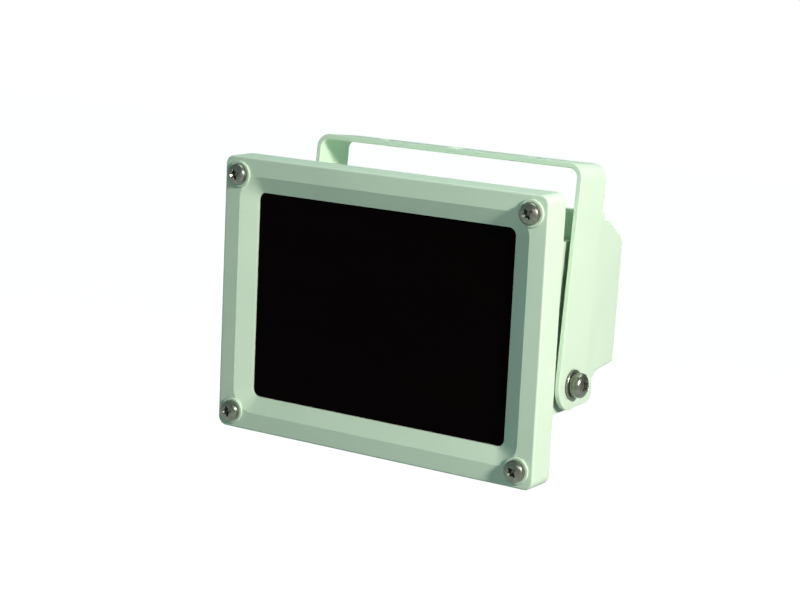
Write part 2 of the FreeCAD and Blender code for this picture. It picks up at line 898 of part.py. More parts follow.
def terminal_block():
    """Screw terminal block with a clamp hole and a wire mouth at each pole."""
    x0 = terminal_x - terminal_width / 2
    z0 = terminal_z - terminal_depth / 2
    top = driver_back + terminal_height
    shape = block(x0, x0 + terminal_width, driver_back, top, z0, z0 + terminal_depth)
    pitch = terminal_width / terminal_poles
    for pole in range(terminal_poles):
        x = x0 + (pole + 0.5) * pitch
        shape = shape.cut(rod(x, terminal_z, terminal_hole_radius, top - terminal_hole_depth, top))
        mouth = Part.makeCylinder(
            terminal_hole_radius,
            terminal_depth / 2,
            Vector(x, driver_back + terminal_height / 3, z0),
            Vector(0, 0, 1),
        )
        shape = shape.cut(mouth)
    return shape


def cover_seal():
    """Rubber ring inside the rear cover's edge."""
    return seal_space()


def bracket():
    """Flat strap folded to a U, with round arm ends, pivot holes and three mounting holes."""
    half_strap = strap_width / 2
    foot = -pivot_drop - half_strap
    strap = block(-arm_outer, arm_outer, -half_strap, half_strap, foot, 0)
    strap = strap.cut(block(-arm_inner, arm_inner, -half_strap, half_strap, foot, -strap_thickness))
    bends = (
        (arm_outer, 0, strap_bend_radius + strap_thickness),
        (arm_inner, -strap_thickness, strap_bend_radius),
    )
    for half, top, radius in bends:
        folds = []
        for edge in strap.Edges:
            box = edge.BoundBox
            level = abs(box.ZMin - top) < tolerance and box.ZLength < tolerance
            if level and box.XLength < tolerance and abs(abs(box.XMin) - half) < tolerance:
                folds.append(edge)
        strap = strap.makeFillet(radius, folds)
    end_disc = Part.makeCylinder(
        half_strap, bracket_span, Vector(-arm_outer, 0, -pivot_drop), Vector(1, 0, 0)
    )
    keep = block(-arm_outer, arm_outer, -half_strap, half_strap, -pivot_drop, 0).fuse(end_disc)
    strap = strap.common(keep)
    rims = [e for e in strap.Edges if at_y(e, half_strap) or at_y(e, -half_strap)]
    strap = strap.makeFillet(strap_edge_round, rims)
    pivot_bore = Part.makeCylinder(
        pivot_screw_radius + pivot_running_gap,
        bracket_span,
        Vector(-arm_outer, 0, -pivot_drop),
        Vector(1, 0, 0),
    )
    strap = strap.cut(pivot_bore)
    holes = (
        (-side_hole_pitch / 2, side_hole_radius),
        (0, centre_hole_radius),
        (side_hole_pitch / 2, side_hole_radius),
    )
    for x, radius in holes:
        strap = strap.cut(Part.makeCylinder(radius, strap_thickness, Vector(x, 0, -strap_thickness)))
    return strap


def washer(radius, bore, thickness):
    """Flat ring lying on Z = 0."""
    return Part.makeCylinder(radius, thickness).cut(Part.makeCylinder(bore, thickness))


def pivot_stack(side):
    """Spacer, washers and screw of one pivot, as (name, solid) pairs."""
    word = "right" if side > 0 else "left"
    bore = pivot_screw_radius + washer_bore_gap
    spacer = washer(spacer_radius, bore, spacer_thickness)
    flat = washer(flat_washer_radius, bore, flat_washer_thickness)
    lock = washer(lock_washer_radius, bore, lock_washer_thickness)
    slot = Part.makeBox(
        lock_washer_radius * 2,
        lock_washer_slot,
        lock_washer_thickness,
        Vector(0, -lock_washer_slot / 2, 0),
    )
    lock = lock.cut(slot)
    screw = pan_screw(
        pivot_screw_radius,
        pivot_screw_length,
        pivot_head_radius,
        pivot_head_height,
        pivot_recess_width,
        recess_turns[1],
    )
    flat_place = arm_outer + pivot_face_gap
    lock_place = flat_place + flat_washer_thickness
    head_place = lock_place + lock_washer_thickness
    return [
        ("pivot_spacer_" + word, point_side(spacer, side, cheek_half_width)),
        ("pivot_flat_washer_" + word, point_side(flat, side, flat_place)),
        ("pivot_lock_washer_" + word, point_side(lock, side, lock_place)),
        ("pivot_screw_" + word, point_side(screw, side, head_place)),
    ]


def m4_screw(length, turn):
    """Screw of the bezel and of the rear cover."""
    return pan_screw(m4_radius, length, m4_head_radius, m4_head_height, m4_recess_width, turn)


def m3_screw(length):
    """Small screw used inside the lamp."""
    return cheese_screw(m3_radius, length, m3_head_radius, m3_head_height)


def housing_parts():
    """Every piece that tilts with the lamp, as (name, solid) pairs."""
    parts = [
        ("front_bezel", front_bezel()),
        ("filter_window", filter_window()),
        ("window_seal", window_seal()),
        ("main_housing", main_housing()),
        ("rear_cover", rear_cover()),
        ("cover_seal", cover_seal()),
        ("gland_body", gland_body()),
        ("gland_bung", gland_bung()),
        ("gland_cap", gland_cap()),
        ("gland_locknut", gland_locknut()),
        ("lens_plate", lens_plate()),
        ("led_board", led_board()),
        ("heat_spreader", heat_spreader()),
        ("light_sensor", light_sensor()),
        ("led_lead_positive", led_lead(1)),
        ("led_lead_negative", led_lead(-1)),
        ("driver_board", driver_board()),
        ("driver_choke", driver_choke()),
        ("input_capacitor", capacitor(large_can_radius, large_can_length, large_can_x, large_can_z)),
        ("output_capacitor", capacitor(small_can_radius, small_can_length, small_can_x, small_can_z)),
        ("driver_regulator", driver_regulator()),
        ("terminal_block", terminal_block()),
    ]
    for index, (x, z) in enumerate(led_places):
        parts.append(("led_%02d" % (index + 1), led_emitter(x, z)))
    for index, (x, z) in enumerate(bezel_screws):
        screw = m4_screw(bezel_screw_length, recess_turns[index])
        parts.append(("bezel_screw_%d" % (index + 1), point_forward(screw, x, -pad_height, z)))
    for index, (x, z) in enumerate(board_screws):
        screw = m3_screw(board_screw_length)
        parts.append(("board_screw_%d" % (index + 1), point_forward(screw, x, board_front, z)))
    for index, (x, z) in enumerate(driver_posts):
        screw = m3_screw(driver_screw_length)
        parts.append(("driver_screw_%d" % (index + 1), point_back(screw, x, driver_back, z)))
    for index, (x, z) in enumerate(cover_screws):
        screw = m4_screw(cover_screw_length, recess_turns[index])
        parts.append(("cover_screw_%d" % (index + 1), point_back(screw, x, cover_head_seat, z)))
    for side in (-1, 1):
        parts.extend(pivot_stack(side))
    return parts


def hang(shape):
    """Move a piece from the housing's own frame to the row frame, tilted about the pivot."""
    pivot = Vector(0, pivot_back, -pivot_below)
    shape.rotate(pivot, Vector(1, 0, 0), tilt_deg)
    shape.translate(Vector(0, -pivot_back, pivot_below - pivot_drop))
    return shape


os.makedirs("parts", exist_ok=True)
bracket().exportStep("parts/bracket.step")
for name, solid in housing_parts():
    hang(solid).exportStep("parts/" + name + ".step")
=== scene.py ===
"""Infrared illuminator in a strap bracket: finishes, fasteners, studio and camera.

Everything is in metres in the frame's own axes: +X to the right, +Y to the back and +Z up, with
the origin at the centre of the bracket bar's top face. Names that end in _mm hold millimetres.
"""

import sys

import json
import logging
import math
from dataclasses import dataclass
from enum import Enum
from typing import Iterable, Optional, Sequence, Union

import bmesh
import bpy
from mathutils import Matrix, Vector


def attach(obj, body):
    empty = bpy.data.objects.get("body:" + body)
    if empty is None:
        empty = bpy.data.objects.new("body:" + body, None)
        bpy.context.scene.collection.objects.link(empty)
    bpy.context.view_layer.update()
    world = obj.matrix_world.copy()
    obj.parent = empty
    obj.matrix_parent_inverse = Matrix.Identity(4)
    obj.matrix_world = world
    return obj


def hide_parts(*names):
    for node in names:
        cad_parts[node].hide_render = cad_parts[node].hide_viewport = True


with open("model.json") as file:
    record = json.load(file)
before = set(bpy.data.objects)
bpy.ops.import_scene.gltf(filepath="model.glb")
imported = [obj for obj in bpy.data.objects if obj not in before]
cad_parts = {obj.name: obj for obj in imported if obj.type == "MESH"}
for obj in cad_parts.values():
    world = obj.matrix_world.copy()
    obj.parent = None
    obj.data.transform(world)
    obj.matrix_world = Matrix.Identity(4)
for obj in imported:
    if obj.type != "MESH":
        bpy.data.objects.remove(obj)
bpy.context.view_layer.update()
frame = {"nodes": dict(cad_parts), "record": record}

LOG = logging.getLogger("illuminator")
MM = 0.001

Number = Union[int, float]
Colour = tuple[float, float, float]
Point = tuple[float, float, float]


def from_screen(red: Number, green: Number, blue: Number) -> Colour:
    """Linear colour of a screen colour.

    Args:
        red: Red from 0 to 255.
        green: Green from 0 to 255.
        blue: Blue from 0 to 255.

    Returns:
        The colour as shader sockets take it.
    """
    linear = []
    for part in (red, green, blue):
        share = part / 255
        linear.append(share / 12.92 if share <= 0.04045 else ((share + 0.055) / 1.055) ** 2.4)
    return tuple(linear)


# Shader graphs


@dataclass(frozen=True)
class Signal:
    """One output of a shader node. Arithmetic on it adds Math nodes to its graph."""

    graph: "Graph"
    socket: bpy.types.NodeSocket

    def _math(self, operation: str, first: "Value", second: "Value") -> "Signal":
        """Add one Math node.

        Args:
            operation: Blender's name of the operation.
            first: Left value.
            second: Right value.

        Returns:
            The node's result.
        """
        return self.graph.node("ShaderNodeMath", {"operation": operation}, {0: first, 1: second})

    def __add__(self, other: "Value") -> "Signal":
        """Sum with a number or another signal."""
        return self._math("ADD", self, other)

    __radd__ = __add__

    def __mul__(self, other: "Value") -> "Signal":
        """Product with a number or another signal."""
        return self._math("MULTIPLY", self, other)

    __rmul__ = __mul__

    def __rsub__(self, other: "Value") -> "Signal":
        """Another value less this signal."""
        return self._math("SUBTRACT", other, self)

    def larger(self, other: "Value") -> "Signal":
        """The larger of this signal and another value."""
        return self._math("MAXIMUM", self, other)


Value = Union[Signal, Number, Sequence[Number]]


class Graph:
    """Node tree of a material or the world, with one method that adds any node."""

    def __init__(self, owner: Union[bpy.types.Material, bpy.types.World]) -> None:
        """Empty the owner's node tree.

        Args:
            owner: The material or world that the nodes belong to.
        """
        owner.use_nodes = True
        self.tree = owner.node_tree
        self.tree.nodes.clear()

    def node(
        self,
        kind: str,
        settings: Optional[dict] = None,
        sockets: Optional[dict] = None,
        output: Union[int, str] = 0,
    ) -> Signal:
        """Add one node.

        Args:
            kind: Blender's type name of the node.
            settings: Properties of the node, set first. The key "stops" gives a ramp's
                places and colours.
            sockets: Input names or numbers with their values or signals.
            output: The output that is handed back.

        Returns:
            The chosen output.
        """
        made = self.tree.nodes.new(kind)
        for name, value in (settings or {}).items():
            if name == "stops":
                self._set_stops(made, value)
            else:
                setattr(made, name, value)
        for name, value in (sockets or {}).items():
            if isinstance(value, Signal):
                self.tree.links.new(value.socket, made.inputs[name])
            else:
                made.inputs[name].default_value = value
        if not made.outputs:
            return Signal(self, None)
        return Signal(self, made.outputs[output])

    @staticmethod
    def _set_stops(ramp: bpy.types.Node, stops: Sequence[tuple[float, float]]) -> None:
        """Give a ramp its stops.

        Args:
            ramp: The ramp node.
            stops: Places from 0 to 1, each with its grey level.
        """
        elements = ramp.color_ramp.elements
        while len(elements) > len(stops):
            elements.remove(elements[-1])
        while len(elements) < len(stops):
            elements.new(1.0)
        for element, (place, level) in zip(elements, stops):
            element.position = place
            element.color = (level, level, level, 1.0)

    def place(self) -> Signal:
        """Place on the object in its own axes, in metres."""
        return self.node("ShaderNodeTexCoord", output="Object")

    def noise(self, size_mm: float, detail: float = 2.0, stretch: Point = (1, 1, 1)) -> Signal:
        """Soft noise over the surface.

        Args:
            size_mm: Width of one blotch.
            detail: Octaves of finer noise.
            stretch: How many times finer the noise is along each axis.

        Returns:
            A level from 0 to 1.
        """
        place = self.node(
            "ShaderNodeVectorMath", {"operation": "MULTIPLY"}, {0: self.place(), 1: stretch}
        )
        sockets = {"Vector": place, "Scale": 1 / (size_mm * MM), "Detail": detail}
        return self.node("ShaderNodeTexNoise", None, sockets)

    def cells(self, size_mm: float, feature: str = "F1", randomness: float = 1.0) -> Signal:
        """Distance to the nearest of scattered points, or to the borders between them.

        Args:
            size_mm: Typical distance between the points.
            feature: Blender's name of the cell feature.
            randomness: How far the points stray from a grid, from 0 to 1.

        Returns:
            The distance as a level.
        """
        sockets = {"Vector": self.place(), "Scale": 1 / (size_mm * MM), "Randomness": randomness}
        return self.node("ShaderNodeTexVoronoi", {"feature": feature}, sockets, "Distance")

    def ramp(self, level: Signal, *stops: tuple[float, float]) -> Signal:
        """Map a level through grey stops.

        Args:
            level: The level to map.
            *stops: Places from 0 to 1, each with its result.

        Returns:
            The mapped level.
        """
        return self.node("ShaderNodeValToRGB", {"stops": stops}, {"Fac": level})

    def blend(self, share: Value, first: Value, second: Value) -> Signal:
        """Mix two colours.

        Args:
            share: How much of the second colour shows.
            first: Colour at 0.
            second: Colour at 1.

        Returns:
            The mixed colour.
        """
        colours = [c if isinstance(c, Signal) else (*c, 1.0) for c in (first, second)]
        return self.node(
            "ShaderNodeMix",
            {"data_type": "RGBA", "clamp_factor": True},
            {"Factor": share, 6: colours[0], 7: colours[1]},
            2,
        )

    def rounding(self, radius_mm: float) -> Signal:
        """Normal that rounds off sharp edges."""
        return self.node("ShaderNodeBevel", {"samples": 6}, {"Radius": radius_mm * MM})

    def edges(self, radius_mm: float) -> Signal:
        """Level that is 0 on open faces and rises towards sharp edges.

        Args:
            radius_mm: How far from an edge the level starts to rise.

        Returns:
            The level.
        """
        flat = self.node("ShaderNodeNewGeometry", output="Normal")
        aligned = self.node(
            "ShaderNodeVectorMath",
            {"operation": "DOT_PRODUCT"},
            {0: self.rounding(radius_mm), 1: flat},
            "Value",
        )
        return 1 - aligned

    def crevices(self, reach_mm: float) -> Signal:
        """Level that is 1 in the open and falls in corners.

        Args:
            reach_mm: How far the corners' effect goes.

        Returns:
            The level.
        """
        return self.node(
            "ShaderNodeAmbientOcclusion", {"samples": 6}, {"Distance": reach_mm * MM}, "AO"
        )

    def bump(self, height: Signal, depth_mm: float, normal: Optional[Signal] = None) -> Signal:
        """Relief on the surface.

        Args:
            height: Level from 0 to 1.
            depth_mm: Depth of the relief between the levels 0 and 1.
            normal: Normal that the relief is laid on.

        Returns:
            The new normal.
        """
        sockets = {"Height": height, "Distance": depth_mm * MM, "Strength": 1.0}
        if normal is not None:
            sockets["Normal"] = normal
        return self.node("ShaderNodeBump", None, sockets)

    def surface(self, **sockets: Value) -> None:
        """Close the graph with a Principled shader; names use _ where sockets have a space."""
        named = {name.replace("_", " "): value for name, value in sockets.items()}
        shader = self.node("ShaderNodeBsdfPrincipled", None, named)
        self.node("ShaderNodeOutputMaterial", None, {"Surface": shader})


# Finishes


@dataclass(frozen=True)
class PowderCoat:
    """Pale powder coat over metal, with random specks and painted shade in its corners."""

    colour: Colour = from_screen(216, 240, 216)
    shade: Colour = from_screen(206, 232, 208)
    # colour of the random specks, and also of the painted shade that darkens corners
    grime: Colour = from_screen(98, 114, 92)
    edge: Colour = from_screen(226, 243, 225)
    roughness: float = 0.42
    specular: float = 0.42
    tone_mm: float = 26.0
    tone_share: float = 0.55
    speck_mm: float = 3.1
    speck_share: float = 0.35
    cluster_mm: float = 5.5
    worn_mm: float = 0.6
    worn_share: float = 0.8
    # reach and strength of the painted shade in corners
    dirt_mm: float = 5.0
    dirt_share: float = 0.85
    peel_mm: float = 1.5
    peel_depth_mm: float = 0.016
    grain_mm: float = 0.35
    grain_depth_mm: float = 0.006
    edge_round_mm: float = 0.2

    def fill(self, graph: Graph) -> None:
        """Build the coat's nodes.

        Args:
            graph: The empty graph of its material.
        """
        tone = graph.ramp(graph.noise(self.tone_mm, 3), (0.3, 0.0), (0.72, 1.0))
        colour = graph.blend(tone * self.tone_share, self.colour, self.shade)
        speck = graph.ramp(graph.cells(self.speck_mm), (0.035, 1.0), (0.06, 0.0))
        sparse = graph.ramp(graph.noise(self.cluster_mm, 1), (0.56, 0.0), (0.62, 1.0))
        colour = graph.blend(speck * sparse * self.speck_share, colour, self.grime)
        worn = graph.ramp(graph.edges(self.worn_mm), (0.02, 0.0), (0.16, 1.0))
        colour = graph.blend(worn * graph.noise(2.4) * self.worn_share, colour, self.edge)
        # painted shade: ambient occlusion darkens corners, gaps and recesses, patchily, towards the
        # speck colour
        dirt = graph.ramp(graph.crevices(self.dirt_mm), (0.2, 1.0), (0.75, 0.0))
        patchy = dirt * (0.55 + 0.4 * graph.noise(7, 3))
        colour = graph.blend(patchy * self.dirt_share, colour, self.grime)
        peel = graph.noise(self.peel_mm, 2)
        grain = graph.noise(self.grain_mm, 1)
        relief = graph.bump(peel, self.peel_depth_mm, graph.rounding(self.edge_round_mm))
        relief = graph.bump(grain, self.grain_depth_mm, relief)
        rough = self.roughness - 0.07 + 0.1 * graph.noise(11, 4) + 0.04 * peel
        graph.surface(
            Base_Color=colour, Roughness=rough, Normal=relief, Specular_IOR_Level=self.specular
        )


@dataclass(frozen=True)
class FilterPane:
    """Near black pane that passes infrared only, with a faint deep red body."""

    colour: Colour = (0.0014, 0.0002, 0.0002)
    haze: Colour = (0.0028, 0.0005, 0.0005)
    dust: Colour = (0.016, 0.012, 0.011)
    roughness: float = 0.055
    specular: float = 0.025
    film_mm: float = 30.0
    dust_mm: float = 6.0
    wave_mm: float = 22.0
    wave_depth_mm: float = 0.004

    def fill(self, graph: Graph) -> None:
        """Build the pane's nodes.

        Args:
            graph: The empty graph of its material.
        """
        wiped = graph.noise(self.film_mm, 4, (1.0, 1.0, 3.0))
        film = graph.ramp(wiped, (0.45, 0.0), (0.75, 1.0))
        mote = graph.ramp(graph.cells(self.dust_mm), (0.012, 1.0), (0.022, 0.0))
        colour = graph.blend(film * 0.6, self.colour, self.haze)
        colour = graph.blend(mote * 0.25, colour, self.dust)
        rough = self.roughness + 0.05 * film + 0.2 * mote
        relief = graph.bump(graph.noise(self.wave_mm, 1), self.wave_depth_mm)
        graph.surface(
            Base_Color=colour, Roughness=rough, Normal=relief, Specular_IOR_Level=self.specular
        )


@dataclass(frozen=True)
class Plating:
    """Bright plated steel with fine turning marks and painted shade in its corners."""

    colour: Colour = from_screen(148, 152, 138)
    stain: Colour = from_screen(88, 91, 78)
    # painted shade: near-black colour that darkens corners and the cross recess
    dirt: Colour = from_screen(16, 17, 13)
    roughness: float = 0.21
    blotch_mm: float = 1.6
    corner_mm: float = 1.6
    scratch_mm: float = 0.5
    scratch_depth_mm: float = 0.004
    edge_round_mm: float = 0.12

    def fill(self, graph: Graph) -> None:
        """Build the plating's nodes.

        Args:
            graph: The empty graph of its material.
        """
        blotch = graph.ramp(graph.noise(self.blotch_mm, 3), (0.4, 0.0), (0.75, 1.0))
        colour = graph.blend(blotch * 0.5, self.colour, self.stain)
        # painted shade: ambient occlusion darkens the recess and corners, and dulls the metal there
        corner_shade = graph.ramp(graph.crevices(self.corner_mm), (0.2, 1.0), (0.75, 0.0))
        colour = graph.blend(corner_shade * 0.85, colour, self.dirt)
        marks = graph.noise(self.scratch_mm, 2, (1.0, 1.0, 6.0))
        rough = self.roughness + 0.16 * blotch + 0.1 * marks + 0.35 * corner_shade
        relief = graph.bump(marks, self.scratch_depth_mm, graph.rounding(self.edge_round_mm))
        graph.surface(Base_Color=colour, Metallic=1 - 0.5 * corner_shade, Roughness=rough, Normal=relief)


@dataclass(frozen=True)
class Moulding:
    """Moulded plastic or rubber with a fine grain, slight mottling and painted shade in its
    corners.
    """

    colour: Colour
    dark: Colour
    roughness: float = 0.5
    grain_mm: float = 0.4
    grain_depth_mm: float = 0.01
    mottle_mm: float = 6.0
    corner_mm: float = 2.0
    edge_round_mm: float = 0.2
    specular: float = 0.5
    clarity: float = 0.0

    def fill(self, graph: Graph) -> None:
        """Build the moulding's nodes.

        Args:
            graph: The empty graph of its material.
        """
        mottle = graph.noise(self.mottle_mm, 3)
        # painted shade: ambient occlusion darkens corners towards the dark colour, along with the
        # mottling
        corner_shade = graph.ramp(graph.crevices(self.corner_mm), (0.3, 1.0), (0.85, 0.0))
        colour = graph.blend(mottle * 0.5 + 0.5 * corner_shade, self.colour, self.dark)
        grain = graph.noise(self.grain_mm, 2)
        rough = self.roughness - 0.05 + 0.1 * mottle + 0.04 * grain
        relief = graph.bump(grain, self.grain_depth_mm, graph.rounding(self.edge_round_mm))
        graph.surface(
            Base_Color=colour,
            Roughness=rough,
            Normal=relief,
            Specular_IOR_Level=self.specular,
            Transmission_Weight=self.clarity,
        )


@dataclass(frozen=True)
class MilledMetal:
    """Bare metal with straight milling marks."""

    colour: Colour = from_screen(205, 206, 208)
    dull: Colour = from_screen(150, 152, 155)
    roughness: float = 0.28
    mark_mm: float = 0.6
    mark_depth_mm: float = 0.006
    cloud_mm: float = 12.0
    edge_round_mm: float = 0.15

    def fill(self, graph: Graph) -> None:
        """Build the metal's nodes.

        Args:
            graph: The empty graph of its material.
        """
        marks = graph.noise(self.mark_mm, 2, (14.0, 1.0, 1.0))
        cloud = graph.noise(self.cloud_mm, 3)
        colour = graph.blend(cloud * 0.6 + marks * 0.3, self.colour, self.dull)
        rough = self.roughness + 0.18 * cloud
        relief = graph.bump(marks, self.mark_depth_mm, graph.rounding(self.edge_round_mm))
        graph.surface(Base_Color=colour, Metallic=1.0, Roughness=rough, Normal=relief)


@dataclass(frozen=True)
class CircuitBoard:
    """Lacquered board with faint copper tracks under the lacquer."""

    lacquer: Colour
    track: Colour
    bare: Colour = from_screen(176, 140, 80)
    roughness: float = 0.3
    mottle_mm: float = 5.0
    pitch_mm: float = 3.2
    straying: float = 0.55
    track_share: float = 0.6
    pad_pitch_mm: float = 4.2
    copper_mm: float = 0.03
    edge_round_mm: float = 0.1

    def fill(self, graph: Graph) -> None:
        """Build the board's nodes.

        Args:
            graph: The empty graph of its material.
        """
        cell = graph.cells(self.pitch_mm, "DISTANCE_TO_EDGE", self.straying)
        track = graph.ramp(cell, (0.07, 1.0), (0.1, 0.0))
        colour = graph.blend(track * self.track_share, self.lacquer, self.track)
        pad = graph.ramp(graph.cells(self.pad_pitch_mm), (0.14, 1.0), (0.17, 0.0))
        colour = graph.blend(pad, colour, self.bare)
        relief = graph.bump(track + pad, self.copper_mm, graph.rounding(self.edge_round_mm))
        graph.surface(
            Base_Color=colour,
            Metallic=pad * 0.8,
            Roughness=self.roughness + 0.12 * graph.noise(self.mottle_mm, 2),
            Normal=relief,
        )


Finish = Union[PowderCoat, FilterPane, Plating, Moulding, MilledMetal, CircuitBoard]


class Slot(Enum):
    """Material slots of the record, each with its finish."""

    casting_paint = PowderCoat()
    bracket_paint = PowderCoat(peel_depth_mm=0.012, edge_round_mm=0.15)
    dark_filter = FilterPane()
    steel_fastener = Plating()
    black_rubber = Moulding(
        from_screen(46, 46, 46), from_screen(28, 28, 28), roughness=0.62, specular=0.35
    )
    gland_nylon = Moulding(
        from_screen(150, 154, 152), from_screen(112, 116, 114), roughness=0.46, grain_depth_mm=0.02
    )
    spacer_nylon = Moulding(
        from_screen(226, 227, 219), from_screen(196, 198, 190), roughness=0.45
    )
    bare_aluminium = MilledMetal()
    white_board = CircuitBoard(from_screen(232, 234, 230), from_screen(212, 216, 212))
    green_board = CircuitBoard(from_screen(34, 96, 56), from_screen(48, 122, 72))
    clear_lens = Moulding(
        from_screen(226, 231, 236),
        from_screen(212, 220, 228),
        roughness=0.1,
        grain_depth_mm=0.002,
        clarity=0.85,
    )
    emitter = Moulding(
        from_screen(224, 220, 196), from_screen(196, 188, 150), roughness=0.14, mottle_mm=2.0
    )
    sensor_face = Moulding(
        from_screen(206, 122, 84), from_screen(232, 190, 150), roughness=0.3, mottle_mm=0.7
    )
    lead_sleeve = Moulding(from_screen(186, 34, 28), from_screen(140, 22, 20), roughness=0.4)
    capacitor_sleeve = Moulding(
        from_screen(36, 40, 62), from_screen(22, 24, 40), roughness=0.25, mottle_mm=3.0
    )
    dark_core = Moulding(from_screen(62, 60, 58), from_screen(38, 37, 36), roughness=0.55)
    black_moulding = Moulding(from_screen(40, 40, 42), from_screen(24, 24, 26), roughness=0.5)
    terminal_nylon = Moulding(from_screen(44, 122, 76), from_screen(26, 88, 52), roughness=0.38)


class Paintbox:
    """Makes each slot's material once."""

    def __init__(self) -> None:
        """Start with no materials."""
        self._made: dict[str, bpy.types.Material] = {}

    def material(self, slot: str) -> bpy.types.Material:
        """Material of a slot.

        Args:
            slot: Name of the record's material slot.

        Returns:
            The slot's material.
        """
        if slot not in self._made:
            made = bpy.data.materials.new(slot)
            Slot[slot].value.fill(Graph(made))
            self._made[slot] = made
        return self._made[slot]


# Mesh pieces


class Facing(Enum):
    """Directions that a fastener's head may face, with the turn that brings +Z there."""

    FRONT = Matrix.Rotation(math.radians(90), 4, "X")
    BACK = Matrix.Rotation(math.radians(-90), 4, "X")
    RIGHT = Matrix.Rotation(math.radians(90), 4, "Y")
    LEFT = Matrix.Rotation(math.radians(-90), 4, "Y")


@dataclass(frozen=True)
class Hang:
    """How the lamp hangs in its bracket: tilted about the pivot."""

    tilt_deg: float = 5.26
    pivot_back_mm: float = 46.8
    pivot_below_mm: float = 23.3
    pivot_drop_mm: float = 82.0

    def seat(self, place_mm: Point, facing: Facing) -> Matrix:
        """Matrix that seats a piece drawn in millimetres about its own Z axis.

        Args:
            place_mm: Place in the lamp's own axes, with the bezel's front plane at Y = 0 and
                the window's centre on the Y axis.
            facing: Where the piece's +Z points.

        Returns:
            The matrix into the frame's axes.
        """
        scale = Matrix.Scale(MM, 4)
        pivot = Matrix.Translation((0, 0, -self.pivot_drop_mm))
        tilt = Matrix.Rotation(math.radians(self.tilt_deg), 4, "X")
        home = Matrix.Translation((0, -self.pivot_back_mm, self.pivot_below_mm))
        return scale @ pivot @ tilt @ home @ Matrix.Translation(place_mm) @ facing.value


class Solid:
    """Mesh under construction, in millimetres about its own Z axis."""

    def __init__(self) -> None:
        """Start with an empty mesh."""
        self.mesh = bmesh.new()

    @classmethod
    def turned(cls, outline: Sequence[tuple[float, float]], steps: int = 64) -> "Solid":
        """Solid of revolution.

        Args:
            outline: Radius and height of each ring, from the lower end to the upper end. The
                first and last points lie on the axis.
            steps: Faces round the axis.

        Returns:
            The solid.
        """
        solid = cls()
        rings: list[list[bmesh.types.BMVert]] = []
        for radius, height in outline:
            if radius == 0:
                rings.append([solid.mesh.verts.new((0, 0, height))])
                continue
            angles = [2 * math.pi * step / steps for step in range(steps)]
            rings.append(
                [
                    solid.mesh.verts.new((radius * math.cos(a), radius * math.sin(a), height))
                    for a in angles
                ]
            )
        for lower, upper in zip(rings, rings[1:]):
            for step in range(steps):
                after = (step + 1) % steps
                corners = [lower[step % len(lower)], lower[after % len(lower)]]
                corners += [upper[after % len(upper)], upper[step % len(upper)]]
                unique = list(dict.fromkeys(corners))
                solid.mesh.faces.new(unique)
        return solid

    @classmethod
    def hull(cls, points: Iterable[Point]) -> "Solid":
        """Convex solid round some points."""
        solid = cls()
        for point in points:
            solid.mesh.verts.new(point)
        bmesh.ops.convex_hull(solid.mesh, input=solid.mesh.verts)
        return solid

    def cut(self, tool: "Solid") -> "Solid":
        """Take another solid away from this one.

        Args:
            tool: The solid to take away. It is used up.

        Returns:
            This solid.
        """
        body, cutter = self._object("body"), tool._object("cutter")
        modifier = body.modifiers.new("cut", "BOOLEAN")
        modifier.operation = "DIFFERENCE"
        modifier.solver = "EXACT"
        modifier.object = cutter
        graph = bpy.context.evaluated_depsgraph_get()
        result = bpy.data.meshes.new_from_object(body.evaluated_get(graph))
        self.mesh = bmesh.new()
        self.mesh.from_mesh(result)
        for used in (body, cutter):
            bpy.data.meshes.remove(used.data)
        bpy.data.meshes.remove(result)
        return self

    def _object(self, name: str) -> bpy.types.Object:
        """Plain object of this mesh, which is freed."""
        data = bpy.data.meshes.new(name)
        self.mesh.to_mesh(data)
        self.mesh.free()
        made = bpy.data.objects.new(name, data)
        bpy.context.scene.collection.objects.link(made)
        return made

    def piece(self, name: str, seat: Matrix, sharp_deg: float = 38) -> bpy.types.Object:
        """Finished object in the frame's axes.

        Args:
            name: Name of the piece.
            seat: Matrix from the solid's own millimetres into the frame.
            sharp_deg: Edges that turn further than this stay sharp.

        Returns:
            The object, with its place in its mesh.
        """
        self.mesh.transform(seat)
        bmesh.ops.recalc_face_normals(self.mesh, faces=self.mesh.faces)
        made = self._object(name)
        for polygon in made.data.polygons:
            polygon.use_smooth = True
        made.data.set_sharp_from_angle(angle=math.radians(sharp_deg))
        return made


